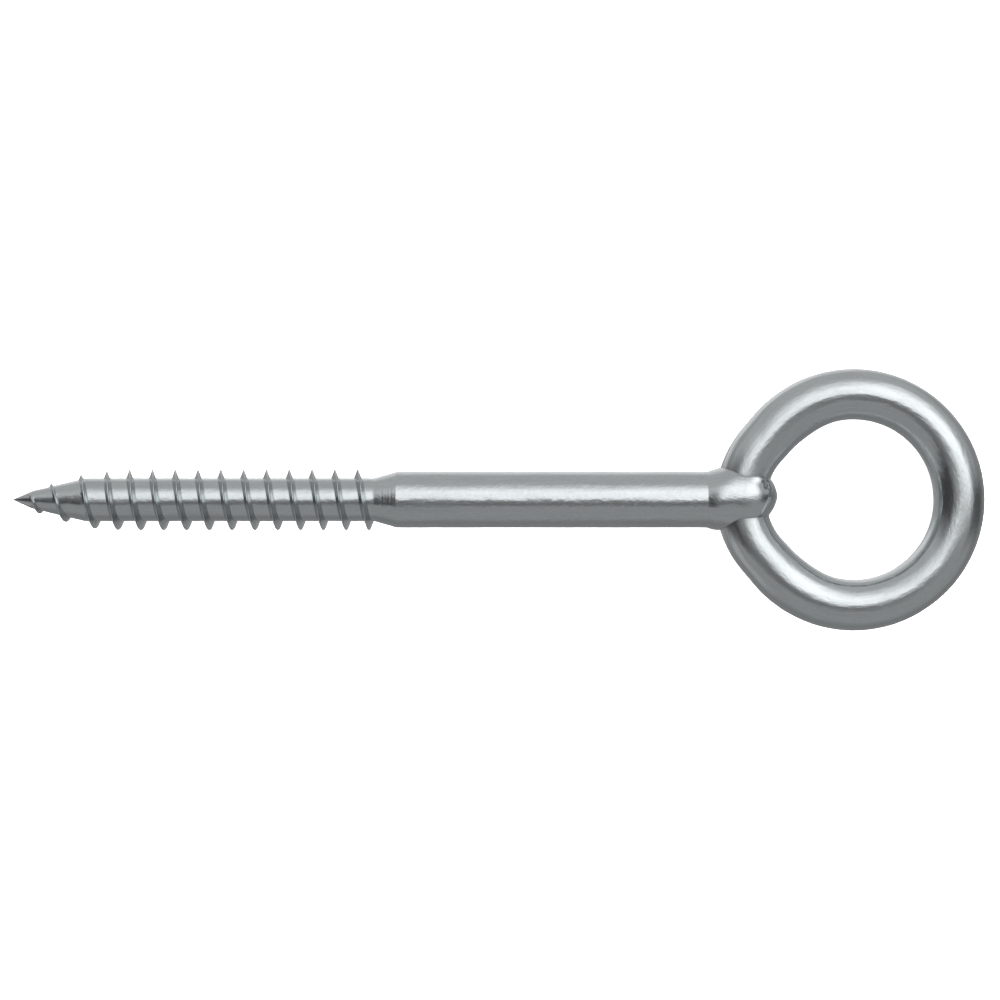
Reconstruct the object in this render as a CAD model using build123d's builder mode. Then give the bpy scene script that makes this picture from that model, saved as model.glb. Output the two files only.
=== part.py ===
"""Eye screw for scaffold anchors: a wood-thread screw whose forged head closes round a ring.

Two pieces of steel make it. The screw is one piece from its gimlet point to its egg-shaped
head. The ring is a round bar bent to an eye. Its two ends butt inside the head, which is
forged shut over them, so the ring can't turn or slide and nothing on the object moves.

Frame, in millimetres: +X runs along the screw's axis from the point to the ring, +Z is normal
to the plane of the ring, and the origin is on the axis where the plain shank meets the head.
"""

import os
from math import atan2, cos, degrees, radians, sqrt, tan

from build123d import *

# ---- driving dimensions ----------------------------------------------------------------------
thread_diameter = 12.0
root_diameter = 8.7
shank_diameter = 11.2
head_diameter = 13.0
head_half_length = 9.4  # of the egg, along the axis
ring_bar_diameter = 10.2
ring_inner_diameter = 32.0

# Lengths along the screw's axis, measured back from the head.
shank_length = 62.0
shank_cone_length = 4.5  # from the thread's root up to the plain shank
thread_start_distance = 118.8  # from the origin to where the ridge reaches its full height
tip_distance = 138.9  # from the origin to the point
point_knee_diameter = 3.5  # where the steep nose of the point ends and the taper begins

# The thread is right-handed. Its ridge begins on the +Z side, at the knee of the point.
thread_pitch = 4.56
thread_turns = 11.35
point_lead = 5.35  # the thread is stretched on the point
taper_turns = 2  # on the tapered part of the point
lead_in_turns = 1  # between the taper and the full thread
ridge_base_width = 1.54
crest_width = 0.2
ridge_sink = 0.3  # how far the ridge's base lies under the root surface
knee_height_share = 0.3  # of the ridge's full height, at the knee
taper_end_height_share = 0.65

# The ring is round but for its side in the head, which is bent tighter.
ring_centre = 29.4
eye_arc_angle = 140.0  # degrees of the round part, to either side of the far side
buried_bend_radius = 16.8
butt_gap = 0.2  # between the bar's two ends

# ---- derived sizes ---------------------------------------------------------------------------
root_radius = root_diameter / 2
shank_radius = shank_diameter / 2
head_radius = head_diameter / 2
head_centre = head_half_length * sqrt(1 - (shank_radius / head_radius) ** 2)
ridge_height = thread_diameter / 2 - root_radius
ring_bar_radius = ring_bar_diameter / 2
ring_radius = (ring_inner_diameter + ring_bar_diameter) / 2  # to the middle of the bar
buried_bend_angle = 180.0 - eye_arc_angle
limb_length = (ring_radius - buried_bend_radius) * tan(radians(buried_bend_angle))

# Stations along the axis.
thread_start_x = -thread_start_distance
taper_end_x = thread_start_x - lead_in_turns * point_lead
knee_x = taper_end_x - taper_turns * point_lead
knee_radius = point_knee_diameter / 2
taper_angle = degrees(atan2(root_radius - knee_radius, taper_end_x - knee_x))


def ridge_section(path, end, height_share):
    """The ridge's section at an end of its helix, standing on the root surface."""
    start, forward = path @ end, path % end
    outward = Vector(0, start.Y, start.Z).normalized()
    half_base = ridge_base_width / 2 * (0.25 + 0.75 * height_share)
    with BuildSketch(Plane(start, x_dir=outward.cross(forward), z_dir=forward)) as section:
        with BuildLine():
            Polyline(
                (-half_base, -ridge_sink),
                (-crest_width / 2, ridge_height * height_share),
                (crest_width / 2, ridge_height * height_share),
                (half_base, -ridge_sink),
                close=True,
            )
        make_face()
    return section.sketch.face()


def sweep_ridge(helix, share_from, share_to):
    """Sweep the ridge along a helix, its height growing from one share to another."""
    sections = [ridge_section(helix, 0, share_from), ridge_section(helix, 1, share_to)]
    sweep(sections=sections, path=helix, multisection=True, is_frenet=True)


# ---- the ring --------------------------------------------------------------------------------
# The head's socket is cut with the closed ring; the ring itself is parted where its ends butt.
with BuildPart() as closed_ring:
    with BuildLine() as bar_line:
        eye_arc = JernArc(
            start=(ring_centre + ring_radius, 0),
            tangent=(0, 1),
            radius=ring_radius,
            arc_size=eye_arc_angle,
        )
        limb = Line(eye_arc @ 1, eye_arc @ 1 + eye_arc % 1 * limb_length)
        JernArc(
            start=limb @ 1,
            tangent=limb % 1,
            radius=buried_bend_radius,
            arc_size=buried_bend_angle,
        )
        mirror(about=Plane.XZ)
    with BuildSketch(Plane(eye_arc @ 0, z_dir=eye_arc % 0)):
        Circle(ring_bar_radius)
    sweep(path=bar_line.wire())

with BuildPart() as eye_ring:
    add(closed_ring.part)
    Box(ring_centre, butt_gap, 2 * ring_bar_diameter, mode=Mode.SUBTRACT)
eye_ring.part.label = "eye_ring"

# ---- the screw -------------------------------------------------------------------------------
with BuildPart() as screw:
    with BuildSketch(Plane.XY):
        with BuildLine():
            Polyline(
                (-tip_distance, 0),
                (knee_x, knee_radius),
                (taper_end_x, root_radius),
                (-shank_length - shank_cone_length, root_radius),
                (-shank_length, shank_radius),
                (head_centre, shank_radius),
                (head_centre, 0),
                close=True,
            )
        make_face()
    revolve(axis=Axis.X)
    with BuildLine() as full_thread:
        Helix(
            pitch=thread_pitch,
            height=thread_pitch * thread_turns,
            radius=root_radius,
            center=(thread_start_x, 0, 0),
            direction=(1, 0, 0),
        )
    sweep_ridge(full_thread.line, 1, 1)
    with BuildLine() as lead_in:
        Helix(
            pitch=point_lead,
            height=point_lead * lead_in_turns,
            radius=root_radius,
            center=(taper_end_x, 0, 0),
            direction=(1, 0, 0),
        )
    sweep_ridge(lead_in.line, taper_end_height_share, 1)
    with BuildLine() as taper:
        Helix(
            pitch=point_lead / cos(radians(taper_angle)),
            height=point_lead * taper_turns,
            radius=knee_radius,
            center=(knee_x, 0, 0),
            direction=(1, 0, 0),
            cone_angle=taper_angle,
        )
    sweep_ridge(taper.line, knee_height_share, taper_end_height_share)
    with BuildSketch(Plane.XY):
        with Locations((head_centre, 0)):
            Ellipse(head_half_length, head_radius)
        split(bisect_by=Plane.XZ, keep=Keep.BOTTOM)
    revolve(axis=Axis.X)
    add(closed_ring.part, mode=Mode.SUBTRACT)
screw.part.label = "screw"

os.makedirs("parts", exist_ok=True)
for piece in (screw.part, eye_ring.part):
    export_step(piece, f"parts/{piece.label}.step")
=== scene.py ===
# The looks of the eye screw: zinc-plated steel, with a rolled wood thread, a plain shank and a
# forged head closed round a ring. Lengths in this script are in millimetres until a mesh is
# made, and angles round the screw count from +Y towards +Z.

from math import cos, pi, radians, sin, sqrt, tan

import bmesh
import bpy
import numpy as np
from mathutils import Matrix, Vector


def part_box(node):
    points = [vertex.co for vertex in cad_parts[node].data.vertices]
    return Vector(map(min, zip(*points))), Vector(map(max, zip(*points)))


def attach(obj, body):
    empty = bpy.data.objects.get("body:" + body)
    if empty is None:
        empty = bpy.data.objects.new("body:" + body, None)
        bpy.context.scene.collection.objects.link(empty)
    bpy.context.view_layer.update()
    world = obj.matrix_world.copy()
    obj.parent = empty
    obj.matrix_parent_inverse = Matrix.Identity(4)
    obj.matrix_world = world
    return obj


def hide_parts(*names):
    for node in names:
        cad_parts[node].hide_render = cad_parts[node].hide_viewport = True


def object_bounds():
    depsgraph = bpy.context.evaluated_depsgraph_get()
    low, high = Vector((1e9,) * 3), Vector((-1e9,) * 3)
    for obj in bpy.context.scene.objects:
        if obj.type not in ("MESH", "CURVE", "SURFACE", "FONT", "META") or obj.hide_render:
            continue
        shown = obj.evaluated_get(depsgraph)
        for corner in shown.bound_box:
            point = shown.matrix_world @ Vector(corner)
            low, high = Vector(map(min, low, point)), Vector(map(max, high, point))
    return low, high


MM = 0.001  # metres
TINY = 1e-6  # keeps a division from a zero

# ---- sizes from the frame --------------------------------------------------------------------
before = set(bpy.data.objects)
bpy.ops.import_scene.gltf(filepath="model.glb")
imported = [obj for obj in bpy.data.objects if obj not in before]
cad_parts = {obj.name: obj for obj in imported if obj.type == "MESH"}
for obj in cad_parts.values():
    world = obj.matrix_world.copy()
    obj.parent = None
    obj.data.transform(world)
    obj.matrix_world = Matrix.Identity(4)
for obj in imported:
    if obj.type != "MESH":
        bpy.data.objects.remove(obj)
cad_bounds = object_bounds()
screw_low, screw_high = (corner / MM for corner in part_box("screw"))
ring_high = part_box("eye_ring")[1] / MM

TIP_X = screw_low.x
NOSE_X = screw_high.x
HEAD_RADIUS = screw_high.z
BAR_RADIUS = ring_high.z
RING_OUTER_RADIUS = ring_high.y
RING_RADIUS = RING_OUTER_RADIUS - BAR_RADIUS  # to the middle of the bar
RING_CENTRE_X = ring_high.x - RING_OUTER_RADIUS

# ---- sizes of the screw ----------------------------------------------------------------------
ROOT_RADIUS = 4.30
SHANK_RADIUS = 5.6
SHANK_START_X = -62.0  # the plain shank runs from here to the head, at 0
CONE_START_X = -66.5
TAPER_END_X = -124.4
KNEE_X = TIP_X + 3.9  # where the steep nose of the point ends and the taper begins
KNEE_RADIUS = 1.75
KNEE_ROUNDING = 0.12
CHATTER_HEIGHT = 0.004  # of the tool's marks on the cone
CHATTER_SPACINGS = (0.95, 0.61)
CHATTER_START_X = -66.6
CHATTER_END_X = -62.1
CHATTER_FADE = 0.6

# The thread is right-handed. A turn is a number that grows by 1 with each turn of its ridge.
THREAD_PITCH = 4.56
FIRST_CREST_X = -119.92  # the crest of turn 0, on the +Y side
POINT_TURNS = 2.5
POINT_EXTRA_LEAD = 1.7  # the most that the lead grows by, half way along the point
RIDGE_HEIGHT = 1.84
RIDGE_HALF_BASE = 0.68
LEAST_BASE_SHARE = 0.35  # of the half base, where the ridge's height comes to nothing
CREST_HALF_WIDTH = 0.09
FOOT_ROUNDING = 0.11
FIRST_TURN = -2.95
LAST_TURN = 11.86
RUN_OUT_TURNS = 0.3  # over which the ridge rises at its first turn and sinks at its last
POINT_SHARE = 0.34  # the ridge's height on the point, as a share of its full height
GROWTH_START_TURN = -2.5
GROWTH_END_TURN = 1.0
LEAN_SHARE = 0.12  # the rolled point is off centre, so its ridge stands higher on the -Y side
LEAN_TURN = -1.25


def smoothstep(low, high, value):
    share = np.clip((value - low) / (high - low), 0.0, 1.0)
    return share * share * (3.0 - 2.0 * share)


def smooth_max(a, b, width):
    """The larger of a and b, with the corner between them rounded over a width."""
    blend = np.clip(0.5 + 0.5 * (a - b) / width, 0.0, 1.0)
    return b + (a - b) * blend + width * blend * (1.0 - blend)


def ripple(along, angle, seed, height, wavelengths, lobes, count):
    """Low random waves on a bar: along it in millimetres, and whole lobes round it."""
    draw = np.random.default_rng(seed)
    total = np.zeros(np.broadcast(along, angle).shape)
    for _ in range(count):
        length = draw.uniform(*wavelengths)
        turns = draw.integers(lobes[0], lobes[1] + 1)
        phase = draw.uniform(0.0, 2.0 * pi)
        side = draw.choice((-1.0, 1.0))
        total += np.cos(2.0 * pi * along / length + side * turns * angle + phase)
    return total * height / sqrt(count)


# ---- the screw's surface ---------------------------------------------------------------------
def core_radius(x):
    """Radius of the screw without its thread, from the point to the head."""
    nose = KNEE_RADIUS * (x - TIP_X) / (KNEE_X - TIP_X)
    taper_slope = (ROOT_RADIUS - KNEE_RADIUS) / (TAPER_END_X - KNEE_X)
    taper = KNEE_RADIUS + taper_slope * (x - KNEE_X)
    cone_slope = (SHANK_RADIUS - ROOT_RADIUS) / (SHANK_START_X - CONE_START_X)
    cone = ROOT_RADIUS + cone_slope * (x - CONE_START_X)
    chatter = sum(np.sin(2.0 * pi * x / spacing) for spacing in CHATTER_SPACINGS)
    chatter = chatter * smoothstep(CHATTER_START_X, CHATTER_START_X + CHATTER_FADE, x)
    chatter = chatter * (1.0 - smoothstep(CHATTER_END_X - CHATTER_FADE, CHATTER_END_X, x))
    point = -smooth_max(-nose, -np.minimum(taper, ROOT_RADIUS), KNEE_ROUNDING)
    core = np.where(x < CONE_START_X, point, np.clip(cone, ROOT_RADIUS, SHANK_RADIUS))
    return core + CHATTER_HEIGHT * chatter


def crest_x(turn):
    """Station of the ridge's crest at a turn."""
    on_point = np.clip(-turn, 0.0, POINT_TURNS)
    wave = np.sin(2.0 * pi * on_point / POINT_TURNS) * POINT_TURNS / (2.0 * pi)
    return FIRST_CREST_X + THREAD_PITCH * turn - POINT_EXTRA_LEAD * 0.5 * (on_point - wave)


def crest_share(turn):
    """The ridge's height at a turn, as a share of its full height."""
    growth = smoothstep(GROWTH_START_TURN, GROWTH_END_TURN, turn)
    growth = POINT_SHARE + (1.0 - POINT_SHARE) * growth
    lean = np.cos(2.0 * pi * turn) * np.exp(-((turn - LEAN_TURN) ** 2))
    growth = growth - LEAN_SHARE * lean
    rising = smoothstep(FIRST_TURN, FIRST_TURN + RUN_OUT_TURNS, turn)
    sinking = 1.0 - smoothstep(LAST_TURN - RUN_OUT_TURNS, LAST_TURN, turn)
    return growth * rising * sinking


def ridge_half_base(share):
    return RIDGE_HALF_BASE * (LEAST_BASE_SHARE + (1.0 - LEAST_BASE_SHARE) * share)


def ridge(distance, share):
    """Height of the ridge at a distance from its crest."""
    half_base = ridge_half_base(share)
    flank = (half_base - np.abs(distance)) / (half_base - CREST_HALF_WIDTH)
    height = RIDGE_HEIGHT * share * np.minimum(flank, 1.0)
    return smooth_max(height, np.zeros_like(height), FOOT_ROUNDING * share + TINY)


def thread_radius(x, turn):
    """Radius at a station between the crests of a turn and of the next."""
    behind = ridge(x - crest_x(turn), crest_share(turn))
    ahead = ridge(crest_x(turn + 1.0) - x, crest_share(turn + 1.0))
    return core_radius(x) + np.maximum(behind, ahead)


# ---- the forged head -------------------------------------------------------------------------
FLARE_LENGTH = 5.2
FLARE_POWER = 2.3
HEAD_FULL_RADIUS = 6.38
DEEP_FLARE_SLOPE = 0.39  # seen along Y the head flares faster
DEEP_FLARE_HEIGHT = 0.84
DEEP_FLARE_ROUNDING = 0.55
HEAD_SHIFT = 0.5  # the forging sits off the axis, towards +Y
HEAD_SHIFT_SPAN = (0.5, 6.0)  # stations between which it leaves the axis
NOSE_SHIFT = 0.25  # and its nose a little more
NOSE_SHIFT_SPAN = (10.5, 13.0)
HEAD_WIDENING = 0.09  # of the head along Y, where the ring's limbs leave it
WIDENING_SPAN = (2.5, 5.5)
WIDEST_X_ACROSS = 6.8  # where the head starts to narrow, seen along Z
ACROSS_POWER = 1.75
WIDEST_X_DEEP = 7.3  # and seen along Y, past the middle of the ring's bar
DABS = (
    # forging marks on the head: station, angle, half-lengths along and round, height
    (11.65, 56, 0.65, 15, -0.30),  # the notch beside the ear
    (12.7, 122, 1.1, 24, -0.14),  # a trimmed flat on the nose
    (8.6, -50, 2.4, 18, 0.22),
    (5.0, -128, 2.6, 16, 0.20),
    (11.0, -112, 1.2, 22, -0.15),
)
DAB_FADES = (1.5, 1.0)  # where the marks die out, at the shank and at the nose
EAR_ANGLE = 51
EAR_HALF_ANGLE = 8
EAR_HEIGHT = 0.62
EAR_RISE = (7.6, 10.9)  # stations between which the ear rises
EAR_FALL = (11.25, 11.7)
PARTING_ROUNDING = 0.1
PARTING_INSET = 0.02  # of the forging's parting faces from the head's thickest


def angle_between(angle, degrees_round):
    return np.angle(np.exp(1j * (angle - radians(degrees_round))))


def head_shift(x):
    """How far the head's middle lies off the axis at a station."""
    nose_shift = NOSE_SHIFT * smoothstep(*NOSE_SHIFT_SPAN, x)
    return HEAD_SHIFT * smoothstep(*HEAD_SHIFT_SPAN, x) + nose_shift


def head_radius(x, angle):
    """Radius of the forged head: wider over the ring's bar, seen along Z, than beside it."""
    rise = 1.0 - np.clip(x / FLARE_LENGTH, 0.0, 1.0)
    flare = HEAD_FULL_RADIUS - (HEAD_FULL_RADIUS - SHANK_RADIUS) * rise**FLARE_POWER
    across = np.clip((x - WIDEST_X_ACROSS) / (NOSE_X - WIDEST_X_ACROSS), 0.0, 1.0)
    deep = np.clip((x - WIDEST_X_DEEP) / (NOSE_X - WIDEST_X_DEEP), 0.0, 1.0)
    width = flare * (1.0 + HEAD_WIDENING * smoothstep(*WIDENING_SPAN, x))
    width = width * (1.0 - across**ACROSS_POWER) ** (1.0 / ACROSS_POWER) + TINY
    full_rise = np.full_like(x, DEEP_FLARE_HEIGHT)
    deep_rise = -smooth_max(-DEEP_FLARE_SLOPE * x, -full_rise, DEEP_FLARE_ROUNDING)
    deep_flare = SHANK_RADIUS + deep_rise
    depth = np.maximum(deep_flare, SHANK_RADIUS) * np.sqrt(1.0 - deep**2) + TINY
    radius = 1.0 / np.sqrt((np.cos(angle) / width) ** 2 + (np.sin(angle) / depth) ** 2)
    fade = smoothstep(0.0, DAB_FADES[0], x) * smoothstep(0.0, DAB_FADES[1], NOSE_X - x)
    for station, degrees_round, half_length, half_angle, height in DABS:
        turned = angle_between(angle, degrees_round) / radians(half_angle)
        reach = ((x - station) / half_length) ** 2 + turned**2
        radius = radius + fade * height * np.exp(-reach)
    # the ear: a fold that rises towards the nose along the ring's upper limb and ends abruptly
    turned = angle_between(angle, EAR_ANGLE) / radians(EAR_HALF_ANGLE)
    fold = smoothstep(*EAR_RISE, x) * (1.0 - smoothstep(*EAR_FALL, x))
    radius = radius + EAR_HEIGHT * fold * np.exp(-(turned**2))
    dents = ripple(x, angle, 5, height=0.04, wavelengths=(4.0, 11.0), lobes=(1, 5), count=8)
    return radius + fade * dents


def head_surface(x, angle):
    """Radius of the head, nowhere deeper than the forging's parting faces."""
    parting = (HEAD_RADIUS - PARTING_INSET) / np.abs(np.sin(angle) + TINY)
    return -smooth_max(-head_radius(x, angle), -parting, PARTING_ROUNDING)


# ---- mesh building ---------------------------------------------------------------------------
def mesh_object(name, points, faces):
    """A smooth-shaded mesh of points in millimetres."""
    mesh = bpy.data.meshes.new(name)
    mesh.from_pydata((np.asarray(points) * MM).tolist(), [], faces)
    mesh.validate()
    mesh.polygons.foreach_set("use_smooth", [True] * len(mesh.polygons))
    piece = bpy.data.objects.new(name, mesh)
    bpy.context.scene.collection.objects.link(piece)
    return piece


def write_bar_coordinates(piece, coordinates):
    """Keep, for the material, where each point lies on the straight bar, in metres."""
    attribute = piece.data.attributes.new("bar", "FLOAT_VECTOR", "POINT")
    attribute.data.foreach_set("vector", np.asarray(coordinates, np.float32).ravel())


def write_painted_shade(piece, share):
    """Keep, for the material, how much painted shade darkens each point."""
    attribute = piece.data.attributes.new("painted_shade", "FLOAT", "POINT")
    attribute.data.foreach_set("value", np.asarray(share, np.float32).ravel())


def read_points(piece):
    """The points of a piece in millimetres, one to a row."""
    places = np.zeros(len(piece.data.vertices) * 3)
    piece.data.vertices.foreach_get("co", places)
    return places.reshape(-1, 3) / MM


COLUMNS = 160  # round the screw
FIRST_ROW_X = TIP_X + 0.1
SECOND_ROW_X = TIP_X + 0.35
NOSE_ROWS = 9  # from the second row to the thread's first
ROWS_PER_TURN = 26
CONE_ROWS = 36
SHANK_ROWS = 60
HEAD_ROWS = 120
CREST_CROWDING = 0.72  # how much closer the rows lie at a crest than in the groove
HELIX_LOW_X = TIP_X + 2.3
HELIX_HIGH_X = -64.9
HELIX_TURNS = np.arange(-5, 15)  # past both of its ends, on every side
HELIX_MARGIN = 0.03  # rows this close to an end are joined to it
CORNER_SPACING = 0.06  # of the rows to either side of the shank's corner
DENT_FADES = (3.0, 1.0)  # where the shank's dents die out, at its cone and at the head


class ScrewMesh:
    """Points and faces of the screw, built from its point to its nose in rings."""

    def __init__(self):
        self.points = []
        self.faces = []
        self.angles = 2.0 * pi * np.arange(COLUMNS) / COLUMNS

    def add_points(self, x, radius, angles, shift=0.0):
        first = len(self.points)
        x, radius = np.broadcast_to(x, angles.shape), np.broadcast_to(radius, angles.shape)
        self.points.extend(zip(x, shift + radius * np.cos(angles), radius * np.sin(angles)))
        return list(range(first, len(self.points)))

    def add_ring(self, x, radius, shift=0.0):
        return self.add_points(x, radius, self.angles, shift)

    def join_rings(self, low, high):
        for j in range(COLUMNS):
            k = (j + 1) % COLUMNS
            self.faces.append((low[j], low[k], high[k], high[j]))

    def cap(self, ring, x, facing_forward, shift=0.0):
        pole = self.add_points(x, 0.0, np.zeros(1), shift)[0]
        for j in range(COLUMNS):
            k = (j + 1) % COLUMNS
            edge = (ring[j], ring[k]) if facing_forward else (ring[k], ring[j])
            self.faces.append((*edge, pole))

    def add_helix(self, low_ring, high_ring):
        """The threaded stretch: rows follow the ridge, and end on the rings at either end."""
        steps = np.arange(ROWS_PER_TURN) / ROWS_PER_TURN
        steps = steps - CREST_CROWDING * np.sin(2.0 * pi * steps) / (2.0 * pi)
        columns = np.arange(COLUMNS + 1)
        turn = HELIX_TURNS[:, None, None] + columns[None, None, :] / COLUMNS
        x = crest_x(turn) + steps[None, :, None] * (crest_x(turn + 1.0) - crest_x(turn))
        turn = np.broadcast_to(turn, x.shape)
        rows = len(HELIX_TURNS) * ROWS_PER_TURN
        x, turn = x.reshape(rows, -1).copy(), turn.reshape(rows, -1)
        for crease in (TAPER_END_X, CONE_START_X):
            nearest = np.abs(x - crease).argmin(axis=0)
            x[nearest, columns] = crease
        radius = thread_radius(x, turn)
        angle = 2.0 * pi * columns / COLUMNS
        index = {}
        for m in range(rows):
            for j in range(COLUMNS):
                if x[m, j] <= HELIX_LOW_X + HELIX_MARGIN:
                    index[m, j] = low_ring[j]
                elif x[m, j] >= HELIX_HIGH_X - HELIX_MARGIN:
                    index[m, j] = high_ring[j]
                else:
                    index[m, j] = len(self.points)
                    r = radius[m, j]
                    self.points.append((x[m, j], r * cos(angle[j]), r * sin(angle[j])))
            if m >= ROWS_PER_TURN:
                # a turn further on, the first column is the last column of this turn
                index[m - ROWS_PER_TURN, COLUMNS] = index[m, 0]
        for m in range(rows - ROWS_PER_TURN - 1):
            for j in range(COLUMNS):
                corners = (index[m, j], index[m, j + 1], index[m + 1, j + 1], index[m + 1, j])
                kept = list(dict.fromkeys(corners))
                if len(kept) >= 3:
                    self.faces.append(tuple(kept))


def build_screw():
    mesh = ScrewMesh()
    angles = mesh.angles
    # the steep nose of the point
    ring = mesh.add_ring(FIRST_ROW_X, core_radius(np.array(FIRST_ROW_X)))
    mesh.cap(ring, TIP_X, facing_forward=False)
    for x in np.linspace(SECOND_ROW_X, HELIX_LOW_X, NOSE_ROWS):
        next_ring = mesh.add_ring(x, core_radius(np.array(x)))
        mesh.join_rings(ring, next_ring)
        ring = next_ring
    # the thread
    high_ring = mesh.add_ring(HELIX_HIGH_X, core_radius(np.array(HELIX_HIGH_X)))
    mesh.add_helix(ring, high_ring)
    ring = high_ring
    # the cone's end and the plain shank
    stations = np.concatenate((
        np.linspace(HELIX_HIGH_X, SHANK_START_X - CORNER_SPACING, CONE_ROWS)[1:],
        (SHANK_START_X, SHANK_START_X + CORNER_SPACING),
        np.linspace(SHANK_START_X + CORNER_SPACING, -CORNER_SPACING, SHANK_ROWS)[1:],
    ))
    for x in stations:
        dents = ripple(x, angles, 11, height=0.010, wavelengths=(9.0, 40.0), lobes=(2, 7), count=10)
        fade = smoothstep(SHANK_START_X, SHANK_START_X + DENT_FADES[0], x)
        fade = fade * smoothstep(0.0, DENT_FADES[1], -x)
        next_ring = mesh.add_ring(x, core_radius(np.array(x)) + dents * fade)
        mesh.join_rings(ring, next_ring)
        ring = next_ring
    # the forged head
    for s in np.linspace(0.0, 1.0, HEAD_ROWS)[:-1]:
        x = NOSE_X * sin(s * pi / 2.0)
        next_ring = mesh.add_ring(x, head_surface(np.array(x), angles), head_shift(x))
        mesh.join_rings(ring, next_ring)
        ring = next_ring
    mesh.cap(ring, NOSE_X, facing_forward=True, shift=head_shift(NOSE_X))
    return mesh_object("screw_body", mesh.points, mesh.faces)


# ---- the ring --------------------------------------------------------------------------------
EYE_ARC_ANGLE = radians(140.0)  # of the round part, to either side of the far side
BURIED_BEND_RADIUS = 16.8
BUTT_HALF_GAP = 0.1
SOCKET_CLEARANCE = 0.01
SWELL_HEIGHT = 0.4  # bending has thickened the bar's inner side next to the head
SWELL_DISTANCE = 46.5  # along the bar, from the ring's far side
SWELL_HALF_LENGTH = 6.0
DENT_ROUNDING = 0.02
RING_ROWS = 520
RING_COLUMNS = 112


def ring_line(closed):
    """Centre line of the bar: points, outward directions and lengths along it."""
    bend = pi - EYE_ARC_ANGLE
    limb = (RING_RADIUS - BURIED_BEND_RADIUS) * tan(bend)
    bend_end = bend if closed else bend - BUTT_HALF_GAP / BURIED_BEND_RADIUS
    lengths = (RING_RADIUS * EYE_ARC_ANGLE, limb, BURIED_BEND_RADIUS * bend_end)
    half = sum(lengths)
    along = np.linspace(-half, half, RING_ROWS + 1)
    distance = np.abs(along)
    on_eye = np.minimum(distance, lengths[0])
    on_limb = np.clip(distance - lengths[0], 0.0, limb)
    on_bend = np.clip(distance - lengths[0] - limb, 0.0, None)
    heading = on_eye / RING_RADIUS + on_bend / BURIED_BEND_RADIUS
    bend_centre_x = (RING_RADIUS - BURIED_BEND_RADIUS) / cos(EYE_ARC_ANGLE)
    centre_x = np.where(on_bend > 0.0, bend_centre_x, 0.0)
    radius = np.where(on_bend > 0.0, BURIED_BEND_RADIUS, RING_RADIUS)
    x = RING_CENTRE_X + centre_x + radius * np.cos(heading)
    y = radius * np.sin(heading)
    straight = (on_limb > 0.0) & (on_bend <= 0.0)
    x = np.where(straight, x - on_limb * np.sin(heading), x)
    y = np.where(straight, y + on_limb * np.cos(heading), y)
    side = np.sign(along)
    points = np.stack((x, y * side), axis=1)
    outward = np.stack((np.cos(heading), np.sin(heading) * side), axis=1)
    return points, outward, along


def build_ring(name, closed):
    """The ring's bar, parted where its ends butt, or closed and a little fatter as a cutter."""
    points, outward, along = ring_line(closed)
    if closed:
        points, outward, along = points[:-1], outward[:-1], along[:-1]
    rows = len(points)
    angle = 2.0 * pi * np.arange(RING_COLUMNS) / RING_COLUMNS
    if closed:
        radius = np.full((rows, RING_COLUMNS), BAR_RADIUS + SOCKET_CLEARANCE)
    else:
        dents = ripple(along[:, None], angle[None, :], 23, height=0.022,
                       wavelengths=(9.0, 45.0), lobes=(2, 6), count=12)
        # dents only go in, so the bar stays within its own size
        radius = BAR_RADIUS - smooth_max(-dents, np.zeros_like(dents), DENT_ROUNDING)
        swell = np.exp(-(((np.abs(along) - SWELL_DISTANCE) / SWELL_HALF_LENGTH) ** 2))
        radius = radius + SWELL_HEIGHT * swell[:, None] * np.clip(-np.cos(angle), 0.0, None) ** 2
    reach = radius * np.cos(angle)
    positions = np.stack(
        (
            points[:, :1] + outward[:, :1] * reach,
            points[:, 1:] + outward[:, 1:] * reach,
            radius * np.sin(angle),
        ),
        axis=2,
    ).reshape(-1, 3)
    faces = []
    for i in range(rows if closed else rows - 1):
        for j in range(RING_COLUMNS):
            k = (j + 1) % RING_COLUMNS
            a, b = i * RING_COLUMNS, ((i + 1) % rows) * RING_COLUMNS
            faces.append((a + j, a + k, b + k, b + j))
    if not closed:
        faces.append(tuple(range(RING_COLUMNS))[::-1])
        faces.append(tuple(range((rows - 1) * RING_COLUMNS, rows * RING_COLUMNS)))
    ring = mesh_object(name, positions, faces)
    if not closed:
        bar = np.broadcast_arrays(along[:, None], reach, radius * np.sin(angle))
        write_bar_coordinates(ring, np.stack(bar, axis=2).reshape(-1, 3) * MM)
    return ring


def make_normals_outward(piece):
    mesh = bmesh.new()
    mesh.from_mesh(piece.data)
    bmesh.ops.recalc_face_normals(mesh, faces=mesh.faces)
    mesh.to_mesh(piece.data)
    mesh.free()


def cut(piece, cutter):
    """Take the cutter's shape out of a piece, and remove the cutter."""
    modifier = piece.modifiers.new("cut", "BOOLEAN")
    modifier.operation = "DIFFERENCE"
    modifier.solver = "MANIFOLD"
    modifier.object = cutter
    graph = bpy.context.evaluated_depsgraph_get()
    result = bpy.data.meshes.new_from_object(piece.evaluated_get(graph))
    piece.modifiers.clear()
    piece.data = result
    bpy.data.objects.remove(cutter)


def straighten_seam(piece):
    """Drop the points that only bend the cut's edge between two faces."""
    mesh = bmesh.new()
    mesh.from_mesh(piece.data)
    spare = [point for point in mesh.verts if len(point.link_edges) == 2]
    bmesh.ops.dissolve_verts(mesh, verts=spare)
    mesh.to_mesh(piece.data)
    mesh.free()


def sharpen(piece, angle):
    """Shade the edges that turn more than an angle as corners."""
    mesh = bmesh.new()
    mesh.from_mesh(piece.data)
    for edge in mesh.edges:
        if len(edge.link_faces) == 2:
            edge.smooth = edge.calc_face_angle(0.0) < angle
    mesh.to_mesh(piece.data)
    mesh.free()
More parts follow.
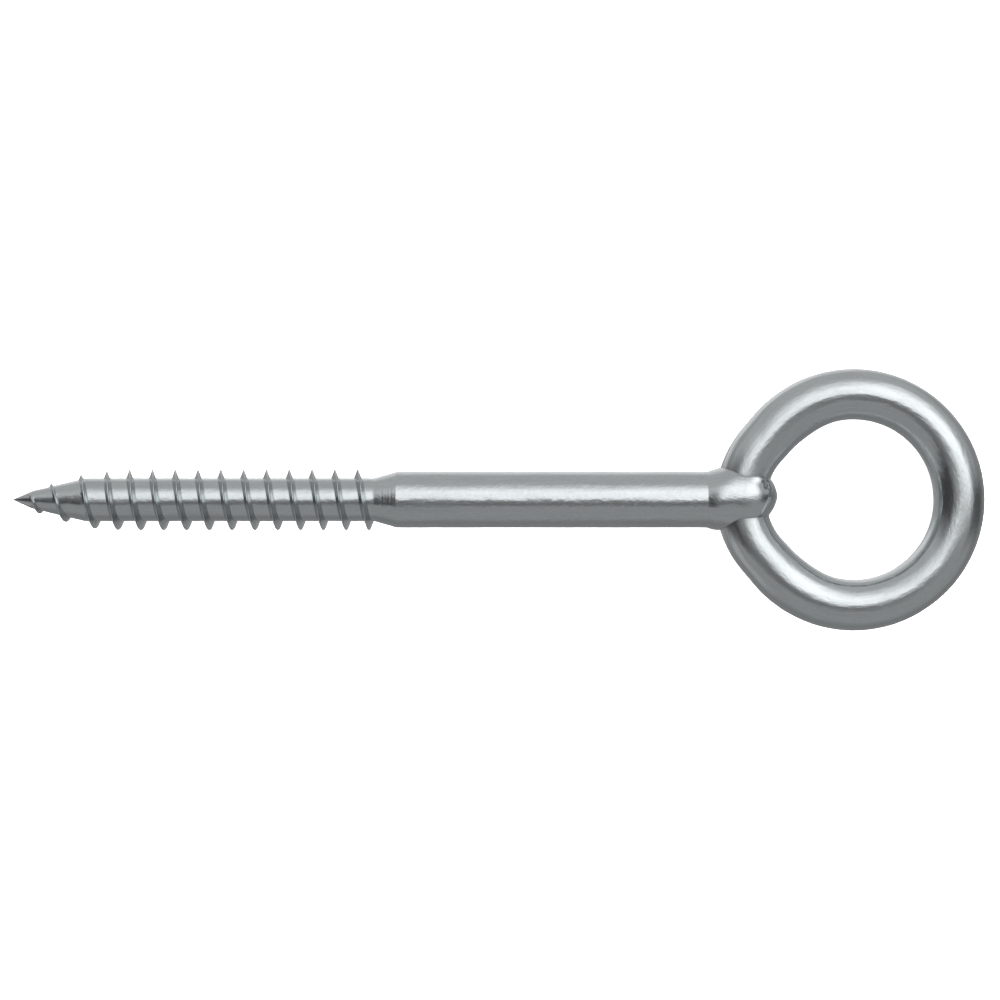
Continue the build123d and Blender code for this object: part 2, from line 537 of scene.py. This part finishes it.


# ---- painted shade, in the thread's flanks and in the head's crease --------------------------
LEADING_FLANK_SHADE = 0.5  # painted shade on the flank that faces the point
# painted shade on the flank that faces the head
TRAILING_FLANK_SHADE = 0.34
CREST_CLEAR = (0.06, 0.25)  # distances from the crest between which the painted shade begins
FOOT_FADE = 0.2
# painted shade in the crease where the ring leaves the head: how dark, and how wide
MOUTH_SHADE_SHARE = 0.25
MOUTH_SHADE_WIDTH = 0.2
FAR = 99.0


def thread_flank_shade(points):
    """Painted shade on the ridge's flanks, deeper on the flank that faces the point."""
    x = points[:, 0]
    part_turn = (np.arctan2(points[:, 2], points[:, 1]) / (2.0 * pi)) % 1.0
    share = np.zeros(len(points))
    for whole_turn in range(int(FIRST_TURN) - 2, int(LAST_TURN) + 2):
        turn = whole_turn + part_turn
        present = np.clip(crest_share(turn), 0.0, 1.0)
        distance = np.abs(x - crest_x(turn))
        foot = ridge_half_base(present)
        on_flank = 1.0 - smoothstep(foot, foot + FOOT_FADE, distance)
        on_flank = on_flank * smoothstep(*CREST_CLEAR, distance)
        # painted shade, deeper on the flank towards the point than on the one towards the head
        flank_shade = np.where(x < crest_x(turn), LEADING_FLANK_SHADE, TRAILING_FLANK_SHADE)
        share = np.maximum(share, flank_shade * present * on_flank)
    return share


def mouth_painted_shade(distance):
    """Painted shade in the crease where the ring leaves the head."""
    return MOUTH_SHADE_SHARE * np.exp(-((distance / MOUTH_SHADE_WIDTH) ** 2))


def distance_to_ring(points):
    """Distance of points from the surface of the ring's bar."""
    line, _, _ = ring_line(closed=True)
    distance = np.full(len(points), FAR)
    for start in range(0, len(line), 4):
        near = (points[:, :2] - line[start]) ** 2
        distance = np.minimum(distance, near.sum(axis=1) + points[:, 2] ** 2)
    return np.abs(np.sqrt(distance) - BAR_RADIUS)


def distance_to_head(points):
    """Distance along the head's radius of points from its surface."""
    x = np.clip(points[:, 0], 0.0, NOSE_X)
    y = points[:, 1] - head_shift(x)
    surface = head_radius(x, np.arctan2(points[:, 2], y))
    distance = np.abs(np.hypot(y, points[:, 2]) - surface)
    return np.where((points[:, 0] > 0.0) & (points[:, 0] < NOSE_X), distance, FAR)


# ---- materials -------------------------------------------------------------------------------
class Nodes:
    """A short way to write a node tree."""

    def __init__(self, tree):
        self.tree = tree
        tree.nodes.clear()

    def new(self, kind, inputs=(), **settings):
        node = self.tree.nodes.new(kind)
        for key, value in settings.items():
            setattr(node, key, value)
        for key, value in dict(inputs).items():
            self.put(node.inputs[key], value)
        return node

    def put(self, socket, value):
        if isinstance(value, bpy.types.NodeSocket):
            self.tree.links.new(value, socket)
        else:
            socket.default_value = value

    def math(self, operation, *values):
        node = self.new("ShaderNodeMath", operation=operation)
        for socket, value in zip(node.inputs, values):
            self.put(socket, value)
        return node.outputs[0]

    def step(self, value, low, high, start=0.0, end=1.0):
        """Rises, or falls, smoothly from start to end as value goes from low to high."""
        if low > high:
            low, high, start, end = high, low, end, start
        node = self.new(
            "ShaderNodeMapRange",
            {"Value": value, "From Min": low, "From Max": high, "To Min": start, "To Max": end},
            interpolation_type="SMOOTHSTEP",
        )
        return node.outputs[0]

    def noise(self, coordinates, stretch, scale, detail=3.0, roughness=0.55):
        """Noise with features a millimetre long at scale 1, stretched along the bar."""
        mapping = self.new(
            "ShaderNodeMapping", {"Vector": coordinates, "Scale": (1.0 / stretch, 1.0, 1.0)}
        )
        node = self.new(
            "ShaderNodeTexNoise",
            {
                "Vector": mapping.outputs[0],
                "Scale": scale / MM,
                "Detail": detail,
                "Roughness": roughness,
            },
        )
        return node.outputs[0]


BRIGHT_ZINC = (0.675, 0.712, 0.722, 1.0)
GREY_ZINC = (0.595, 0.632, 0.645, 1.0)
# the dark colour that the painted shade mixes in
PAINTED_SHADE_ZINC = (0.16, 0.17, 0.18, 1.0)


def zinc(name, wave_depth, mark_depth, mark_stretch, roughness):
    """Bright zinc plate over steel: long soft waves, short marks, grain, duller patches and painted
    shade.
    """
    material = bpy.data.materials.new(name)
    material.use_nodes = True
    n = Nodes(material.node_tree)
    bar = n.new("ShaderNodeAttribute", attribute_name="bar").outputs["Vector"]
    waves = n.noise(bar, stretch=18.0, scale=0.35, detail=2.0, roughness=0.5)
    marks = n.noise(bar, stretch=mark_stretch, scale=1.1, detail=2.5, roughness=0.55)
    streaks = n.noise(bar, stretch=12.0, scale=1.6, detail=4.0, roughness=0.6)
    patches = n.noise(bar, stretch=2.2, scale=0.22, detail=4.0, roughness=0.62)
    grain = n.noise(bar, stretch=1.6, scale=2.5, detail=2.0, roughness=0.5)
    specks = n.noise(bar, stretch=2.0, scale=0.9, detail=5.0, roughness=0.8)

    pits = n.step(specks, 0.62, 0.72)
    dull = n.step(patches, 0.45, 0.70)
    rough = n.math("MULTIPLY_ADD", dull, 0.07, roughness)
    rough = n.math("MULTIPLY_ADD", streaks, 0.05, rough)
    rough = n.math("MULTIPLY_ADD", pits, 0.10, rough)
    shade = n.math("MULTIPLY", n.step(streaks, 0.35, 0.65), 0.35)
    shade = n.math("MULTIPLY_ADD", dull, 0.35, shade)
    shade = n.math("MULTIPLY_ADD", n.step(grain, 0.35, 0.65), 0.30, shade)
    tint = n.new("ShaderNodeValToRGB", {"Fac": shade})
    # painted shade: a value kept on the mesh darkens the colour towards dark zinc in the thread's
    # flanks and the head's crease
    painted_shade = n.new("ShaderNodeAttribute", attribute_name="painted_shade").outputs["Fac"]
    shade_amount = n.math("MULTIPLY", painted_shade, 0.8)
    # a Mix node's colour sockets share their names, so they go by number: factor, A and B
    colour = n.new(
        "ShaderNodeMix", {0: shade_amount, 6: tint.outputs[0], 7: PAINTED_SHADE_ZINC}, data_type="RGBA"
    )
    tint.color_ramp.elements[0].color = BRIGHT_ZINC
    tint.color_ramp.elements[1].color = GREY_ZINC

    bump = n.new("ShaderNodeBump", {"Height": waves, "Distance": wave_depth * MM})
    for height, depth in ((marks, mark_depth), (streaks, mark_depth * 0.22),
                          (grain, mark_depth * 0.05), (pits, mark_depth * -0.15)):
        bump = n.new(
            "ShaderNodeBump",
            {"Height": height, "Distance": depth * MM, "Normal": bump.outputs[0]},
        )
    shader = n.new(
        "ShaderNodeBsdfPrincipled",
        {
            "Base Color": colour.outputs[2],  # the Mix node's colour result
            "Metallic": 1.0,
            "Roughness": rough,
            "Normal": bump.outputs[0],
        },
    )
    output = n.new("ShaderNodeOutputMaterial")
    n.tree.links.new(shader.outputs[0], output.inputs[0])
    return material


def plain(name, colour):
    """A matt material of one colour, for the floor."""
    material = bpy.data.materials.new(name)
    material.use_nodes = True
    n = Nodes(material.node_tree)
    shader = n.new(
        "ShaderNodeBsdfPrincipled", {"Base Color": (*colour, 1.0), "Roughness": 0.9}
    )
    output = n.new("ShaderNodeOutputMaterial")
    n.tree.links.new(shader.outputs[0], output.inputs[0])
    return material


# ---- the object ------------------------------------------------------------------------------
CORNER_ANGLE = radians(38.0)
HEAD_START_X = 0.2

screw = build_screw()
make_normals_outward(screw)
socket_cutter = build_ring("socket_cutter", closed=True)
make_normals_outward(socket_cutter)
cut(screw, socket_cutter)
straighten_seam(screw)
sharpen(screw, CORNER_ANGLE)
points = read_points(screw)
write_bar_coordinates(screw, points * MM)
on_head = points[:, 0] > HEAD_START_X
# painted shade: in the head's crease round the ring, and on the thread's flanks
mouth_shade = mouth_painted_shade(distance_to_ring(points))
write_painted_shade(screw, np.where(on_head, mouth_shade, thread_flank_shade(points)))
screw.data.materials.clear()
screw.data.materials.append(
    zinc("zinc_screw", wave_depth=0.07, mark_depth=0.050, mark_stretch=1.4, roughness=0.12)
)

eye = build_ring("eye_ring_body", closed=False)
make_normals_outward(eye)
sharpen(eye, CORNER_ANGLE)
# painted shade on the ring's bar, in the crease where it enters the head
write_painted_shade(eye, mouth_painted_shade(distance_to_head(read_points(eye))))
eye.data.materials.append(
    zinc("zinc_ring", wave_depth=0.11, mark_depth=0.050, mark_stretch=3.0, roughness=0.14)
)

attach(screw, "root")
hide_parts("screw")
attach(eye, "root")
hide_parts("eye_ring")

# ---- the studio ------------------------------------------------------------------------------
FLOOR_HALF_SIZE = 3.0  # metres
floor_z = cad_bounds[0].z
floor_mesh = bpy.data.meshes.new("floor")
corners = [(x * FLOOR_HALF_SIZE, y * FLOOR_HALF_SIZE, floor_z)
           for x, y in ((-1, -1), (1, -1), (1, 1), (-1, 1))]
floor_mesh.from_pydata(corners, [], [(0, 1, 2, 3)])
floor = bpy.data.objects.new("floor", floor_mesh)
floor.data.materials.append(plain("floor_white", (0.86, 0.86, 0.86)))
floor.visible_glossy = False  # the metal mirrors the studio alone
bpy.context.scene.collection.objects.link(floor)


def build_world():
    """A dim studio with one large softbox overhead, towards +Y and a little towards +X.

    Directions are given by azimuth, from +Z towards +X, and elevation, towards +Y.
    """
    world = bpy.data.worlds.new("studio")
    bpy.context.scene.world = world
    world.use_nodes = True
    n = Nodes(world.node_tree)
    direction = n.new("ShaderNodeTexCoord").outputs["Generated"]
    split = n.new("ShaderNodeSeparateXYZ", {"Vector": direction})
    x, y, z = split.outputs
    azimuth = n.math("DEGREES", n.math("ARCTAN2", x, z))
    elevation = n.math("DEGREES", n.math("ARCSINE", y))

    def patch(*edges):
        """1 in a patch of directions and 0 round it.

        Each of its four edges is a value, with where that value is outside and where inside.
        """
        first, second, third, fourth = (n.step(*edge) for edge in edges)
        return n.math(
            "MULTIPLY", n.math("MULTIPLY", first, second), n.math("MULTIPLY", third, fourth)
        )

    def darken(level, where, share):
        return n.math("MULTIPLY", level, n.math("SUBTRACT", 1.0, n.math("MULTIPLY", where, share)))

    def replace(level, other, where):
        return n.math("MULTIPLY_ADD", where, n.math("SUBTRACT", other, level), level)

    room = n.step(elevation, -5.0, 40.0, 0.33, 0.48)
    side = n.math("MULTIPLY", n.step(z, 0.15, -0.30), n.step(elevation, 58.0, 36.0))
    room = darken(room, side, 0.26)
    # a faint card low on the -X side
    card = patch(
        (azimuth, -68.0, -92.0), (azimuth, -132.0, -108.0),
        (elevation, -4.0, -20.0), (elevation, -62.0, -36.0),
    )
    # the softbox's lower edge rises towards -X and is softer towards +X
    rise = n.step(azimuth, 0.0, -34.0, 0.0, 6.0)
    sharpness = n.step(azimuth, 2.0, 14.0, 1.0, 0.5)
    edge = n.math("MULTIPLY", n.math("SUBTRACT", elevation, rise), sharpness)
    softbox = patch(
        (azimuth, -58.0, 28.0), (azimuth, 70.0, 38.0),
        (edge, -4.5, 5.5), (elevation, 71.0, 24.0),
    )
    # dark flags to either side of the camera, and a thin one below it
    left = patch(
        (azimuth, -12.0, -48.0), (azimuth, -120.0, -90.0),
        (elevation, -30.0, -12.0), (elevation, 32.0, 6.0),
    )
    right = patch(
        (azimuth, 45.0, 68.0), (azimuth, 125.0, 90.0),
        (elevation, -22.0, -7.0), (elevation, 14.0, 2.0),
    )
    below = patch(
        (azimuth, -60.0, -35.0), (azimuth, 35.0, 0.0),
        (elevation, -31.0, -20.0), (elevation, -5.0, -14.0),
    )
    level = n.math("MULTIPLY_ADD", softbox, 1.12, n.math("MULTIPLY_ADD", card, 0.16, room))
    level = darken(level, left, 0.82)
    level = darken(level, right, 0.70)
    level = darken(level, below, 0.45)
    # behind the object, the backdrop is brighter above the horizon
    behind = n.step(n.math("MULTIPLY_ADD", x, 0.25, z), -0.42, -0.85)
    low_backdrop = n.step(y, -0.45, -0.10, 0.26, 0.38)
    backdrop = n.math("ADD", low_backdrop, n.step(y, 0.12, 0.42, 0.0, 0.47))
    level = replace(level, backdrop, behind)
    # the camera itself sees plain white
    camera_ray = n.new("ShaderNodeLightPath").outputs["Is Camera Ray"]
    level = replace(level, 1.0, camera_ray)
    colour = n.new("ShaderNodeCombineColor", {0: level, 1: level, 2: level})
    background = n.new("ShaderNodeBackground", {"Color": colour.outputs[0], "Strength": 1.0})
    output = n.new("ShaderNodeOutputWorld")
    n.tree.links.new(background.outputs[0], output.inputs[0])


build_world()

# A wide overhead light keeps the floor white; it isn't seen in the metal.
overhead = bpy.data.lights.new("overhead", "SUN")
overhead.energy = 14.0
overhead.angle = radians(50.0)
overhead_object = bpy.data.objects.new("overhead", overhead)
overhead_object.visible_glossy = False
bpy.context.scene.collection.objects.link(overhead_object)

# ---- the camera ------------------------------------------------------------------------------
CAMERA_DISTANCE = 600.0
CAMERA_LENS = 108.0
CAMERA_SHIFT_X = 0.35  # from the middle of the object
CAMERA_SHIFT_Y = -0.06
camera = bpy.data.cameras.new("camera")
camera.lens = CAMERA_LENS
camera.sensor_width = 36.0
camera.clip_start = 0.01
camera.clip_end = 20.0
camera_object = bpy.data.objects.new("camera", camera)
camera_x = (TIP_X + ring_high.x) / 2.0 + CAMERA_SHIFT_X
camera_object.location = (camera_x * MM, CAMERA_SHIFT_Y * MM, CAMERA_DISTANCE * MM)
bpy.context.scene.collection.objects.link(camera_object)
bpy.context.scene.camera = camera_object
bpy.context.scene.view_settings.view_transform = "Standard"
